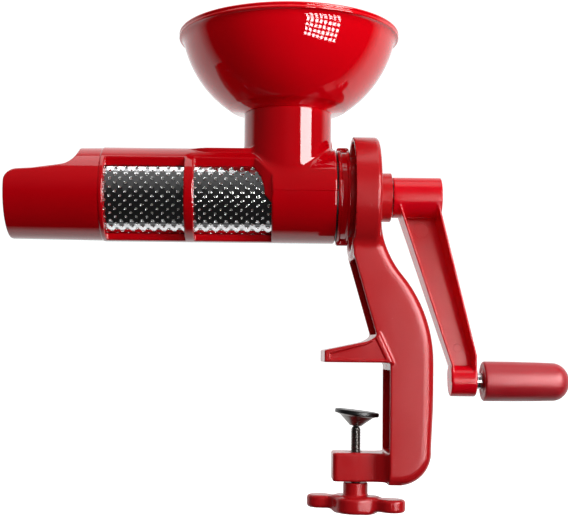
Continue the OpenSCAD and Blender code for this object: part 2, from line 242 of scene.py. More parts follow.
def rounded(points, radii, n=5):
    """Outline with each corner but the two ends replaced by an arc of its radius."""
    out = []
    for i, (p, r) in enumerate(zip(points, radii)):
        p = np.array(p, float)
        if r <= 0 or i in (0, len(points) - 1):
            out.append(tuple(p))
            continue
        a, b = np.array(points[i - 1], float) - p, np.array(points[i + 1], float) - p
        la, lb = np.linalg.norm(a), np.linalg.norm(b)
        a, b = a / la, b / lb
        half = math.acos(np.clip(a @ b, -1, 1)) / 2
        cut = min(r / math.tan(half), 0.48 * la, 0.48 * lb)
        r = cut * math.tan(half)
        centre = p + (a + b) / np.linalg.norm(a + b) * (r / math.sin(half))
        start, end = p + a * cut - centre, p + b * cut - centre
        t0 = math.atan2(start[1], start[0])
        turn = (math.atan2(end[1], end[0]) - t0 + math.pi) % (2 * math.pi) - math.pi
        out += [tuple(centre + r * np.array([math.cos(t0 + turn * k / n), math.sin(t0 + turn * k / n)]))
                for k in range(n + 1)]
    return out


def lathe(name, profile, origin, along, segments=96, closed=False):
    """Turns an outline of (radius, distance) about a line from origin, along X or Z."""
    profile = [p for i, p in enumerate(profile) if i == 0 or math.dist(p, profile[i - 1]) > 1e-4]
    verts, rings = [], []
    for r, h in profile:
        if r < 1e-6:
            rings.append([len(verts)] * segments)
            verts.append((0, 0, h))
            continue
        rings.append(range(len(verts), len(verts) + segments))
        verts += [(r * math.cos(2 * math.pi * k / segments), r * math.sin(2 * math.pi * k / segments), h)
                  for k in range(segments)]
    pairs = list(zip(rings, rings[1:])) + ([(rings[-1], rings[0])] if closed else [])
    faces = []
    for low, high in pairs:
        for k in range(segments):
            m = (k + 1) % segments
            face = list(dict.fromkeys([low[k], low[m], high[m], high[k]]))
            if len(face) > 2:
                faces.append(face)
    turn = Matrix.Rotation(math.pi / 2, 3, "Y") if along == X else Matrix.Identity(3)
    verts = [turn @ Vector(v) + Vector(origin) for v in verts]
    obj = mesh_object(name, verts, faces)
    tidy_normals(obj)
    return obj


def tidy_normals(obj):
    """Makes the faces of a closed mesh all face outwards."""
    bm = bmesh.new()
    bm.from_mesh(obj.data)
    bmesh.ops.recalc_face_normals(bm, faces=bm.faces)
    bm.to_mesh(obj.data)
    bm.free()


# ---- materials ----

def nodes_of(name):
    """A new material, its node tree and its Principled shader."""
    material = bpy.data.materials.new(name)
    material.use_nodes = True
    tree = material.node_tree
    return material, tree, tree.nodes["Principled BSDF"]


def add(tree, kind, **values):
    """Adds a node; values set its properties, or its inputs where it has no such property."""
    node = tree.nodes.new(kind)
    for key, value in values.items():
        if hasattr(node, key):
            setattr(node, key, value)
        else:
            node.inputs[key.replace("_", " ")].default_value = value
    return node


def noise(tree, scale, detail=3.0, stretch=(1, 1, 1)):
    """Noise in object space, scale in waves per metre, stretched per axis."""
    coords = add(tree, "ShaderNodeTexCoord")
    mapping = add(tree, "ShaderNodeMapping")
    mapping.inputs["Scale"].default_value = stretch
    tree.links.new(coords.outputs["Object"], mapping.inputs["Vector"])
    node = add(tree, "ShaderNodeTexNoise", Scale=scale, Detail=detail)
    tree.links.new(mapping.outputs["Vector"], node.inputs["Vector"])
    return node


def ramp(tree, source, low, high, start=0.3, end=0.7):
    """Maps a noise output to the range low to high."""
    node = add(tree, "ShaderNodeMapRange")
    for key, value in (("From Min", start), ("From Max", end), ("To Min", low), ("To Max", high)):
        node.inputs[key].default_value = value
    tree.links.new(source, node.inputs["Value"])
    return node.outputs["Result"]


def bump(tree, shader, source, distance, after=None):
    """Adds a bump of the given depth in metres to a shader, on top of an earlier one if given."""
    node = add(tree, "ShaderNodeBump", Strength=1.0, Distance=distance)
    tree.links.new(source, node.inputs["Height"])
    if after:
        tree.links.new(after.outputs["Normal"], node.inputs["Normal"])
    tree.links.new(node.outputs["Normal"], shader.inputs["Normal"])
    return node


def mixed(tree, factor, one, two):
    """A colour between two, by a factor output."""
    node = add(tree, "ShaderNodeMix", data_type="RGBA")
    tree.links.new(factor, node.inputs[0])
    node.inputs[6].default_value = (*one, 1)
    node.inputs[7].default_value = (*two, 1)
    return node.outputs[2]


def red_plastic(name, colour, deep, rough, grain, coat=0.0, shine=0.5):
    """Moulded plastic: colour clouds, uneven gloss and a faint flow grain."""
    material, tree, shader = nodes_of(name)
    cloud = noise(tree, 14, 3)
    tree.links.new(mixed(tree, ramp(tree, cloud.outputs["Fac"], 0, 1), colour, deep),
                   shader.inputs["Base Color"])
    patch = noise(tree, 60, 4)
    tree.links.new(ramp(tree, patch.outputs["Fac"], rough * 0.8, rough * 1.25),
                   shader.inputs["Roughness"])
    shader.inputs["IOR"].default_value = 1.5
    shader.inputs["Specular IOR Level"].default_value = shine
    shader.inputs["Coat Weight"].default_value = coat
    shader.inputs["Coat Roughness"].default_value = 0.03
    ripple = noise(tree, 45, 2)
    first = bump(tree, shader, ripple.outputs["Fac"], 0.00012)
    fine = noise(tree, 1600, 2)
    bump(tree, shader, fine.outputs["Fac"], grain, after=first)
    return material


def steel(name, colour, rough, stretch=(1, 1, 1), scale=300):
    """Steel with fine drawn or turned lines."""
    material, tree, shader = nodes_of(name)
    lines = noise(tree, scale, 4, stretch)
    shader.inputs["Metallic"].default_value = 1
    tree.links.new(mixed(tree, ramp(tree, lines.outputs["Fac"], 0, 1), colour,
                         tuple(c * 0.86 for c in colour)), shader.inputs["Base Color"])
    tree.links.new(ramp(tree, lines.outputs["Fac"], rough * 0.75, rough * 1.3),
                   shader.inputs["Roughness"])
    bump(tree, shader, lines.outputs["Fac"], 0.00002)
    return material


def dull(name, colour, rough):
    """Rubber or natural plastic with a fine even grain."""
    material, tree, shader = nodes_of(name)
    grain = noise(tree, 500, 4)
    tree.links.new(mixed(tree, ramp(tree, grain.outputs["Fac"], 0, 1), colour,
                         tuple(c * 0.8 for c in colour)), shader.inputs["Base Color"])
    tree.links.new(ramp(tree, grain.outputs["Fac"], rough * 0.85, rough * 1.1),
                   shader.inputs["Roughness"])
    bump(tree, shader, grain.outputs["Fac"], 0.00004)
    return material


GLOSS_RED = red_plastic("gloss_red", (0.60, 0.0003, 0.005), (0.53, 0.0002, 0.004), 0.045, 0.000001, 0.1)
# The bowl's red is the housing's red made brighter: painted glow, standing in for light that shines through
# its thin wall.
BOWL_RED_PAINTED_GLOW = red_plastic("bowl_red_painted_glow", (0.92, 0.0006, 0.008), (0.84, 0.0004, 0.006), 0.045, 0.000001, 0.1)
CRANK_RED = red_plastic("crank_red", (0.76, 0.002, 0.012), (0.69, 0.001, 0.010), 0.2, 0.000003, shine=0.3)
FRAME_RED = red_plastic("frame_red", (0.58, 0.010, 0.014), (0.52, 0.007, 0.011), 0.22, 0.000006, shine=0.3)
GRIP_RED = red_plastic("grip_red", (0.50, 0.012, 0.022), (0.45, 0.009, 0.018), 0.38, 0.000012)
SCREEN_STEEL = steel("screen_steel", (0.80, 0.80, 0.81), 0.12, (1, 12, 12), 120)
SHAFT_STEEL = steel("shaft_steel", (0.66, 0.66, 0.67), 0.25, (40, 1, 1), 60)
SCREW_STEEL = steel("screw_steel", (0.20, 0.19, 0.18), 0.3, (1, 1, 40), 60)
BLACK_RUBBER = dull("black_rubber", (0.012, 0.012, 0.013), 0.35)
BUSH_PLASTIC = dull("bush_plastic", (0.72, 0.69, 0.60), 0.4)
AUGER_PLASTIC = dull("auger_plastic", (0.80, 0.77, 0.70), 0.32)


def place(obj, body, slot, material, *nodes):
    """Gives a new piece its material, its body and the CAD nodes it stands for; slot is not used."""
    obj.data.materials.clear()
    obj.data.materials.append(material)
    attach(obj, body)
    if nodes:
        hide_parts(*nodes)


# ---- barrel housing ----

EDGE = 1.0                       # rounding of moulded edges
BORE_R = SCREEN_R + 0.05
SPOUT_R = BARREL_R - 0.6         # at its right end; it tapers towards the mouth
TUBE_R = 34.9
TUBE_IN = TUBE_R - 4
FAIRING_HALF = 22
FAIRING_NOSE = -139
WINDOWS = ((-199.4, -137.2), (-129.7, -69))
STEP_X = WINDOWS[0][0] - 3.6     # the spout's smaller radius starts here
CAP_HALF, KEEL_HALF = 25.9, 6.4
GUARD_R, GUARD_LOW = TUBE_R + 2.5, -10
THROAT_X = -64
SPOUT_TAPER = 0.0095             # loss of radius per mm towards the mouth
CAP_SLOPE, CAP_H = 0.16, 19      # the wall over the windows widens above this height
GUSSET_X, GUSSET_HALF = (-32, -21), 3
LINE_X = (-67.5, -18)            # ends of the parting line


def spout_outline():
    """Side view of the air above the open trough, as (x, height above the axis)."""
    x0 = BARREL_X[0]
    return ([(x0 - 20, 60), (x0 - 20, 5)] + arc(x0 + 11, 4.5, 10.7, 175, 100)
            + [(-254.6, 16), (-234.7, 19)] + arc(-235.6, 33.2, 14.2, -70, 0) + [(-221.4, 60)])


def mouth_outline():
    """Side view of the air in front of the mouth of the spout."""
    x0 = BARREL_X[0]
    return [(x0 - 20, 60), (x0 - 20, -60), (x0 - 1, -60), (x0, -BARREL_R), (x0 + 0.4, 0), (x0 + 0.4, 60)]


SPOUT_AIR = outline(spout_outline())
MOUTH_AIR = outline(mouth_outline())


def window_field(x, y, h, ends):
    """One window on each side of the barrel, between two X."""
    upper = np.maximum(CAP_HALF + CAP_SLOPE * (h - CAP_H) - np.abs(y), -h - 0.5)
    lower = np.maximum(KEEL_HALF - np.abs(y), h - 0.5)
    return blend_max(np.minimum(upper, lower), slab(x, *ends), 0.8)


def barrel_field(x, y, z):
    """Barrel, spout, feed tube and fairing, less the bore, the windows and the air of the trough."""
    h = z - AXIS_Z
    up = TUBE_X
    taper = SPOUT_TAPER * np.clip(STEP_X - x, 0, 80)
    body = blend_max(tube(y, h, SPOUT_R) + taper, slab(x, *BARREL_X), EDGE)
    body = blend_min(body, blend_max(tube(y, h, BARREL_R), slab(x, STEP_X, BARREL_X[1]), EDGE), 0.6)
    stack = blend_max(tube(x - up, y, TUBE_R), slab(h, 0, TUBE_TOP - AXIS_Z), EDGE)
    plan = np.where(x < FAIRING_NOSE + FAIRING_HALF,
                    tube(x - FAIRING_NOSE - FAIRING_HALF, y, FAIRING_HALF), np.abs(y) - FAIRING_HALF)
    fairing = blend_max(np.maximum(plan, x - up), slab(h, 0, BARREL_R - 2.6), 0.8)
    gusset = np.maximum(slab(x, *GUSSET_X), slab(h, 20, BARREL_R + 8))
    gusset = blend_max(gusset, np.abs(y) - GUSSET_HALF, EDGE)
    gusset = blend_max(gusset, tube(x + 27, h - BARREL_R - 2, 6.5), EDGE)
    solid = blend_min(blend_min(body, fairing, 1.2), blend_min(stack, gusset, 1.5), 2.5)
    bore = np.minimum(tube(y, h, BORE_R), np.maximum(tube(x - up, y, TUBE_IN), -h + BARREL_R + 1.5))
    throat = np.maximum(tube(x - up, y, TUBE_IN), np.maximum(THROAT_X - x, -h))
    solid = blend_max(solid, -blend_min(bore, throat, 1.0), 0.8)
    guard = np.maximum(tube(x - up, y, GUARD_R), GUARD_LOW - h)
    guard = blend_max(guard, -(h + 1.19 * (x - up) + 24.7) / 1.55, 1.0)
    openings = np.minimum(window_field(x, y, h, WINDOWS[0]),
                          blend_max(window_field(x, y, h, WINDOWS[1]), -guard, 1.0))
    solid = blend_max(solid, -openings, 0.8)
    air = np.minimum(SPOUT_AIR(x, h), MOUTH_AIR(x, h))
    return blend_max(solid, -air, EDGE)


def barrel():
    """The housing, with the raised line that the mould leaves along each side."""
    shell = whole("barrel_shell", barrel_field, "barrel_housing", 1.1)
    place(shell, "stand", "gloss_red", GLOSS_RED, "barrel_housing")
    section = [(-0.6, -0.3), (-0.25, 0.35), (0.25, 0.35), (0.6, -0.3)]
    for side in (-1, 1):
        rows = [[(x, side * (BARREL_R + out), AXIS_Z + up) for up, out in section] for x in LINE_X]
        line = mesh_object("parting_line", *sweep(rows), smooth=False)
        tidy_normals(line)
        place(line, "stand", "gloss_red", GLOSS_RED)


# ---- strainer screen ----

HOLE_PITCH = 8.15                # along the axis, in one row
HOLE_ROWS = 58                   # around the screen, each shifted half a pitch
HOLE_R = 0.95
CELL_SIDE = 3                    # edges along each side of a cell
HOLE_LOOPS = ((1.5, 0.02), (1.22, 0.16), (HOLE_R, 0.12))   # radius and height of the punched lip
SHEET = 0.6
SHEET_R = SCREEN_R - 0.36        # outer radius of the flat sheet, below the lips


def screen_cell(x0, x1, t0, t1, holed):
    """Loops of one cell of the sheet: (x, angle, height) from the border to the hole."""
    corners = [(x0, t0), (x1, t0), (x1, t1), (x0, t1)]
    border = []
    for (xa, ta), (xb, tb) in zip(corners, corners[1:] + corners[:1]):
        border += [(xa + (xb - xa) * k / CELL_SIDE, ta + (tb - ta) * k / CELL_SIDE)
                   for k in range(CELL_SIDE)]
    loops = [[(x, t, 0) for x, t in border]]
    if not holed:
        return loops
    cx, ct = (x0 + x1) / 2, (t0 + t1) / 2
    for r, lift in HOLE_LOOPS:
        loop = []
        for x, t in border:
            a = math.atan2((t - ct) * SCREEN_R, x - cx)
            loop.append((cx + r * math.cos(a), ct + r * math.sin(a) / SCREEN_R, lift))
        loops.append(loop)
    return loops


def screen_mesh():
    """Vertices and faces of the whole sheet."""
    cells = round((SCREEN_X[1] - SCREEN_X[0]) / HOLE_PITCH) * 2
    dx, dt = (SCREEN_X[1] - SCREEN_X[0]) / cells, 2 * math.pi / HOLE_ROWS
    verts, faces, index = [], [], {}

    def vertex(x, t, r):
        key = (round(x, 3), round(math.cos(t) * r, 3), round(math.sin(t) * r, 3))
        if key not in index:
            index[key] = len(verts)
            verts.append((x, r * math.cos(t), AXIS_Z + r * math.sin(t)))
        return index[key]

    def skin(loops, low):
        return [[vertex(x, t, SHEET_R + lift - (SHEET if low else 0)) for x, t, lift in loop]
                for loop in loops]

    for i in range(cells):
        for j in range(HOLE_ROWS):
            corners = (SCREEN_X[0] + i * dx, SCREEN_X[0] + (i + 1) * dx, j * dt, (j + 1) * dt)
            loops = screen_cell(*corners, (i + j) % 2 == 0)
            outer, inner = skin(loops, False), skin(loops, True)
            if len(loops) == 1:
                faces += [outer[0], inner[0][::-1]]
                continue
            n = len(outer[0])
            for stack, flip in ((outer, False), (inner, True)):
                for a, b in zip(stack, stack[1:]):
                    for k in range(n):
                        m = (k + 1) % n
                        face = [a[k], a[m], b[m], b[k]]
                        faces.append(face[::-1] if flip else face)
            a, b = outer[-1], inner[-1]
            faces += [[a[k], a[(k + 1) % n], b[(k + 1) % n], b[k]] for k in range(n)]
    for x in SCREEN_X:
        for k in range(CELL_SIDE * HOLE_ROWS):
            t = [k * dt / CELL_SIDE, (k + 1) * dt / CELL_SIDE]
            edge = [vertex(x, a, SHEET_R) for a in t]
            edge += [vertex(x, a, SHEET_R - SHEET) for a in reversed(t)]
            faces.append(edge)
    return verts, faces


def screen():
    """Perforated sleeve; its holes are punched outwards."""
    obj = mesh_object("perforated_screen", *screen_mesh())
    tidy_normals(obj)
    place(obj, "stand", "screen_steel", SCREEN_STEEL, "strainer_screen")


# ---- stand ----

SPIGOT_X, SPIGOT_R = -24, BORE_R - 0.35
HEAD_X = (-4.6, 15)
COLLAR_X, COLLAR_R = 26, 19.2
SEAL_R, BUSH_R = 10.6, 9
FRAME_HALF, FRAME_WALL = 27, 2.8
JAW_HALF = 29
ARM_IN, ARM_OUT = 24, FRAME_X[1]
JAW_LOW, JAW_GAP = NUT_Z[0], 70.9
JAW_TIP = FRAME_X[0]
PANEL_DEPTH = 0.9                # of the sunk panel in the upper jaw's sides
SCREW_HOLE_R, POCKET_R, POCKET_DEPTH = 4.5, 7.6, 6.5


def head_outline():
    """Section of the round head about the main axis, as (radius, x)."""
    web = HEAD_X[1] - 4
    return ([(SEAL_R, SPIGOT_X), (SPIGOT_R, SPIGOT_X), (SPIGOT_R, web), (HEAD_R - 3, web),
             (HEAD_R - 3, HEAD_X[0]), (HEAD_R, HEAD_X[0])] + arc(HEAD_R - 3, HEAD_X[1] - 3, 3, 0, 90, 4)
            + [(COLLAR_R, HEAD_X[1]), (COLLAR_R, COLLAR_X), (BUSH_R, COLLAR_X), (BUSH_R, -9), (SEAL_R, -9)])


def arm_back():
    """Right-hand edge of the arm, from the head down to the foot, as (x, z)."""
    return ([(8, 125)] + arc(96.2, 119, 81, 188, 216) + arc(ARM_OUT - 108, 0, 108, 36, 0)
            + [(ARM_OUT, -33)] + arc(31, -69.2, 25.2, 5, -75) + [(34, FOOT_Z)])


HEAD_SECTION = outline(head_outline())
BACK = outline(arm_back() + [(-200, FOOT_Z), (-200, 125)])
FRONT = outline([(HEAD_X[0], 125), (HEAD_X[0], 112), (-5, 84.5), (12.6, 24), (ARM_IN, 0), (ARM_IN, -200),
                 (200, -200), (200, 125)])
SIDE_OPENING = outline([(-20, 82), (3, 82), (24, 24), (30, 21), (30, 12), (-20, 40)])
UPPER_JAW = outline([(JAW_TIP, 0), (JAW_TIP, 9.3)] + arc(-2, 37, 22, -70, -40, 5) + [(15.3, 22), (25.7, 0)])
JAW_PANEL = outline([(JAW_TIP + 4.5, 2.6), (JAW_TIP + 4.5, 6.6)] + arc(-3.5, 34.5, 22, -72, -44, 5)
                    + [(12.6, 18.4), (20.4, 2.6)])


def lower_jaw_outline():
    """Plan of the lower jaw: a bar that flares into the arm."""
    w, flare, x0, x1 = 13.5, 12, -19, 13
    half = arc(x0 + 4, w - 4, 4, 180, 90, 5) + arc(x1, w + flare, flare, -90, -10, 8) + [(34, FRAME_HALF - 6)]
    return half + [(x, -y) for x, y in reversed(half)]


LOWER_JAW = outline(lower_jaw_outline())
NUT_POCKET = outline(arc(0, 0, POCKET_R, 0, 300, 5))


def arm_field(x, y, z):
    """The stand's arm, a box open on its left."""
    side = np.abs(y) - FRAME_HALF
    plate = np.maximum(blend_max(BACK(x, z) - 0.8, side, 9), blend_max(FRONT(x, z), side, 1.2))
    shell = np.maximum(BACK(x, z), FRONT(x, z)) + FRAME_WALL
    hollow = np.maximum(shell, slab(z, 0.5 - JAW_GAP, 86))
    hollow = np.minimum(hollow, SIDE_OPENING(x, z))
    hollow = np.minimum(hollow, np.maximum(slab(x, 15, 35), slab(z, 0.5 - JAW_GAP, -6)))
    hollow = blend_max(hollow, side + FRAME_WALL, 3)
    return blend_max(plate, -hollow, 1.0)


def frame_field(x, y, z):
    """Head, arm and both jaws, with the screw's hole and the nut's pocket."""
    r = np.sqrt(y * y + (z - AXIS_Z) ** 2)
    recess = np.maximum(r - HEAD_R + 2, x - HEAD_X[1] + 4)
    body = blend_min(HEAD_SECTION(r, x) - 0.3, blend_max(arm_field(x, y, z), -recess, 1.0), 5)
    ring_gap = np.maximum(slab(r, SEAL_R + 4, SPIGOT_R - 3.5), x - HEAD_X[1] + 4)
    body = blend_max(body, -ring_gap, 1.0)
    jaw = blend_max(UPPER_JAW(x, z), np.abs(y) - JAW_HALF, 1.6)
    panel = blend_max(JAW_PANEL(x, z), JAW_HALF - PANEL_DEPTH - np.abs(y), 0.6)
    jaw = blend_max(jaw, -panel, 0.6)
    low = blend_max(LOWER_JAW(x, y), slab(z, JAW_LOW, -JAW_GAP), 2)
    body = blend_min(blend_min(body, jaw, 3), low, 3)
    screw_hole = np.maximum(tube(x, y, SCREW_HOLE_R), z + 60)
    pocket = np.maximum(NUT_POCKET(x, y), z - JAW_LOW - POCKET_DEPTH)
    return blend_max(body, -np.minimum(screw_hole, pocket), 0.5)


def stand():
    """C-shaped casting of head, arm and jaws."""
    casting = whole("stand_casting", frame_field, "clamp_frame", 1.05)
    place(casting, "stand", "frame_red", FRAME_RED, "clamp_frame")


# ---- locking ring ----

RING_R = 37
RING_TAB = span("locking_ring", Z)[1] - AXIS_Z


def ring_field(x, y, z):
    """Ring with a rib at each end, and a tab above and below."""
    h = z - AXIS_Z
    r = np.sqrt(y * y + h * h)
    x0, x1 = RING_X
    core = blend_max(r - RING_R + 1.2, slab(x, x0, x1), EDGE)
    for a, b in ((x0, x0 + 2.2), (x1 - 2.2, x1)):
        core = blend_min(core, blend_max(r - RING_R, slab(x, a, b), 0.8), 0.8)
    tab = boxed((x, x0, x1), (y, -4.5, 4.5), (np.abs(h), 20, RING_TAB), r=1.6)
    solid = blend_min(core, tab, 1.6)
    return blend_max(solid, SPIGOT_R + 0.5 - r, 0.5)


def ring():
    """Locking ring between the barrel and the head."""
    obj = whole("bayonet_ring", ring_field, "locking_ring", 0.9)
    place(obj, "ring", "gloss_red", GLOSS_RED, "locking_ring")


# ---- bowl ----

def bowl():
    """Bowl of one radius, with a double bead at the rim and a neck for the feed tube."""
    centre, r_out, wall = BOWL_TOP + 12.8, 86.9, 2.4
    r_in = r_out - wall
    neck = TUBE_R - 4.3
    low = span("hopper_bowl", Z)[0]
    wall_out = arc(0, centre, r_out, -58, -14, 24)
    wall_in = arc(0, centre, r_in, -11, -58, 26)
    rim = BOWL_R - 1.1
    beads = (arc(rim, BOWL_TOP - 4.2, 1.1, -90, 60, 6) + arc(rim, BOWL_TOP - 1.5, 1.1, -60, 90, 6))
    profile = ([(neck - wall, low), (neck, low), (neck, TUBE_TOP), (TUBE_R - 0.4, TUBE_TOP),
                (TUBE_R, TUBE_TOP + 0.4), (TUBE_R + 0.4, TUBE_TOP + 1.4)] + wall_out
               + [(r_out - 1.4, BOWL_TOP - 6.2), (r_out - 0.7, BOWL_TOP - 5.5)] + beads
               + arc(r_in + 1.0, BOWL_TOP - 1.2, 0.8, 90, 175, 5) + wall_in
               + [(neck + 1.2, TUBE_TOP + 1.2), (neck - 0.9, TUBE_TOP - 1.6), (neck - wall, TUBE_TOP - 5)])
    obj = lathe("bowl_shell", profile, (TUBE_X, 0, 0), Z, 180, closed=True)
    # Its brighter red is painted glow, for light shining through the thin wall.
    place(obj, "hopper", "gloss_red", BOWL_RED_PAINTED_GLOW, "hopper_bowl")


# ---- auger and shaft ----

PITCH = 34                       # of the auger's flight


def sweep(sections):
    """Vertices and faces through a list of equal sections, closed at both ends."""
    n = len(sections[0])
    verts = [p for section in sections for p in section]
    faces = [list(range(n))[::-1]]
    for i in range(len(sections) - 1):
        for k in range(n):
            m = (k + 1) % n
            faces.append([i * n + k, i * n + m, (i + 1) * n + m, (i + 1) * n + k])
    faces.append([(len(sections) - 1) * n + k for k in range(n)])
    return verts, faces


def auger():
    """Stepped core and one helical flight, which is lower at both ends."""
    x0, x1 = span("auger", X)
    radius = span("auger", Y)[1]
    length = x1 - x0
    core = ([(0, 0.0), (3, 0.2), (5, 1.2), (9, 5), (12, 8), (19, 28), (19, length - 60), (15, length - 50),
             (15, length), (11, length), (11, length - 28), (0, length - 28)])
    profile = rounded(core, [0, 1, 1, 2, 3, 4, 2, 2, 0.6, 0.6, 0.5, 0])
    shaft = lathe("auger_screw", profile, (x0, 0, AXIS_Z), X)
    root = 11
    section = rounded([(0, -2.6), (root, -2.2), (radius, -1.1), (radius, 1.1), (root, 2.2)],
                      [0, 0, 0.9, 0.9, 0], 4)
    start, end, per_turn = x0 + 16, x1 - 6, 72
    steps = int((end - start) / PITCH * per_turn)
    rows = []
    for i in range(steps + 1):
        a = 2 * math.pi * i / per_turn
        taper = min(1.0, 0.45 + i / 60, 0.6 + (steps - i) / 30)
        cut = [(min(r, root) + max(0, r - root) * taper, h) for r, h in section]
        rows.append([(start + PITCH * i / per_turn + h, -r * math.sin(a), AXIS_Z + r * math.cos(a))
                     for r, h in cut])
    flight = mesh_object("auger_flight", *sweep(rows))
    tidy_normals(flight)
    place(shaft, "crank", "auger_plastic", AUGER_PLASTIC, "auger")
    place(flight, "crank", "auger_plastic", AUGER_PLASTIC)


def spring():
    """Coil spring with closed ends."""
    x0, x1 = span("auger_spring", X)
    turns, wire, mean, sides, per_turn = 5, 0.8, 8.8, 12, 40
    rows = []
    for i in range(turns * per_turn + 1):
        t = 2 * math.pi * i / per_turn
        along = min(1, max(0, (i / per_turn - 0.7) / (turns - 1.4)))
        centre = x0 + wire + (x1 - x0 - 2 * wire) * along
        rows.append([(centre + wire * math.sin(s), (mean + wire * math.cos(s)) * math.sin(-t),
                      AXIS_Z + (mean + wire * math.cos(s)) * math.cos(t))
                     for s in (2 * math.pi * k / sides for k in range(sides))])
    obj = mesh_object("coil_spring", *sweep(rows))
    tidy_normals(obj)
    place(obj, "crank", "shaft_steel", SHAFT_STEEL, "auger_spring")


# ---- turned parts on the main axis ----

def ring_profile(r0, r1, h0, h1, edge):
    """Closed section of a ring with rounded edges."""
    corners = ((r1 - edge, h0 + edge, -90), (r1 - edge, h1 - edge, 0), (r0 + edge, h1 - edge, 90),
               (r0 + edge, h0 + edge, 180))
    return [p for r, h, t in corners for p in arc(r, h, edge, t, t + 90, 4)]


def ring_piece(name, node, body, slot, material, inner, edge=0.3):
    """A ring lathed to the length and outer radius of a CAD node."""
    outer = span(node, Y)[1]
    obj = lathe(name, ring_profile(inner, outer, *span(node, X), edge), (0, 0, AXIS_Z), X, closed=True)
    place(obj, body, slot, material, node)


def small_rings():
    """Seals, washers and the bearing's bush; the black seal in the gap at the head is also painted shade."""
    # This black ring fills the gap between the locking ring and the head: a rubber seal, and also painted
    # shade for the dark band in that gap.
    ring_piece("gap_seal_painted_shade", "housing_seal", "stand", "black_rubber", BLACK_RUBBER, SPIGOT_R)
    ring_piece("lip_seal", "shaft_seal", "stand", "black_rubber", BLACK_RUBBER, 6.3)
    ring_piece("thrust_ring", "thrust_washer", "crank", "shaft_steel", SHAFT_STEEL, 6.2)
    ring_piece("crank_screw_washer", "crank_washer", "crank", "screw_steel", SCREW_STEEL, 2.7, 0.15)
    x0, x1 = span("bearing_bush", X)
    profile = rounded([(7.5, x0), (BUSH_R, x0), (BUSH_R, x1 - 1), (12, x1 - 1), (12, x1), (6.06, x1),
                       (6.06, x0), (7.5, x0)], [0, 0.6, 0.2, 0.3, 0.3, 0.4, 0.4, 0])
    obj = lathe("bush_sleeve", profile[:-1], (0, 0, AXIS_Z), X, closed=True)
    place(obj, "stand", "bush_plastic", BUSH_PLASTIC, "bearing_bush")


def plain_nodes():
    """CAD pieces whose exact shape stays: they get their material."""
    for node, material in (("drive_shaft", SHAFT_STEEL), ("clamp_nut", SCREW_STEEL),
                           ("swivel_ball", SHAFT_STEEL), ("grip_retaining_ring", SHAFT_STEEL)):
        data = frame["nodes"][node].data
        data.materials.clear()
        data.materials.append(material)


# ---- clamp screw ----

THREAD_PITCH, THREAD_DEPTH = 1.25, 0.68
THREAD_TOP = -52.3               # a plain neck goes on from here, through the ball


def thread_radius(phase):
    """Radius of the thread over one pitch: flat crest and root with straight flanks."""
    rise = abs(phase % 1 - 0.5) * 2
    return SCREW_R - THREAD_DEPTH * min(1, max(0, (rise - 0.15) / 0.75))


def clamp_screw():
    """Threaded rod whose thread fades out at both ends, with a neck for the ball."""
    low, top = span("clamp_screw", Z)
    segments, per_pitch = 40, 8
    count = round((THREAD_TOP - low) / THREAD_PITCH * per_pitch)
    rings = []
    for i in range(count + 1):
        z = low + (THREAD_TOP - low) * i / count
        fade = min(1, THREAD_TOP - z, z - low + 0.2)
        rings.append([(z, SCREW_R - (SCREW_R - thread_radius(z / THREAD_PITCH - k / segments)) * fade
                       - 0.55 * (1 - fade)) for k in range(segments)])
    for z, r in ((THREAD_TOP + 0.3, 3.1), (THREAD_TOP + 1, 2.9), (THREAD_TOP + 1.1, 2.2),
                 (BALL_Z + 3.2, 2.2), (BALL_Z + 3.25, 3.2), (BALL_Z + 4.6, 2.9), (top, 2.4)):
        rings.append([(z, r)] * segments)
    rows = [[(r * math.cos(2 * math.pi * k / segments), r * math.sin(2 * math.pi * k / segments), z)
             for k, (z, r) in enumerate(row)] for row in rings]
    obj = mesh_object("threaded_screw", *sweep(rows))
    tidy_normals(obj)
    place(obj, "screw", "screw_steel", SCREW_STEEL, "clamp_screw")


KNOB_TURN = math.radians(-25)
WING_Z = (KNOB_Z[0] + 2.8, KNOB_Z[0] + 12.9)
WING_REACH, WING_END_R, WING_HALF = 30.8, 10, 7.5
MIDDLE_R, KNOB_HUB_R, DISH_R = 17, 9.8, 8.6


def knob_field(x, y, z):
    """Two round wings, a hub above them and a dish below; u runs along the wings."""
    u = x * math.cos(KNOB_TURN) + y * math.sin(KNOB_TURN)
    v = -x * math.sin(KNOB_TURN) + y * math.cos(KNOB_TURN)
    plan = tube(np.abs(u) - WING_REACH, v, WING_END_R)
    plan = blend_min(plan, np.maximum(np.abs(v) - WING_HALF, np.abs(u) - WING_REACH), 4)
    middle = blend_max(tube(x, y, MIDDLE_R), slab(z, KNOB_Z[0] + 0.45, WING_Z[1]), 3.0)
    wings = blend_min(blend_max(plan, slab(z, *WING_Z), 3.0), middle, 5)
    hub = blend_max(tube(x, y, KNOB_HUB_R), slab(z, WING_Z[1] - 3, KNOB_Z[1]), 1.2)
    dish = np.maximum(tube(x, y, DISH_R), z - KNOB_Z[0] - 1.2)
    solid = blend_max(blend_min(wings, hub, 1.6), -dish, 0.8)
    return blend_max(solid, SCREW_R - np.sqrt(x * x + y * y), 0.4)


def knob():
    """Wing knob on the screw's lower end."""
    obj = whole("wing_knob_body", knob_field, "wing_knob", 0.9)
    place(obj, "screw", "frame_red", FRAME_RED, "wing_knob")


def tilted(obj):
    """Tilts a turned piece with the pad, about the ball, as the pad's mount faces."""
    face = next(m for m in frame["record"]["mounts"] if m["name"] == "clamp_pad_face")
    turn = Matrix.Rotation(math.atan2(face["axis"][0], face["axis"][2]), 4, "Y")
    ball = Vector((0, 0, BALL_Z * MM))
    obj.data.transform(Matrix.Translation(ball) @ turn @ Matrix.Translation(-ball))
    return obj


CUP_LOW, CUP_TOP, PAD_TOP = -50.4, -41, -38.4
CUP_R, PAD_R = 15, 17.5


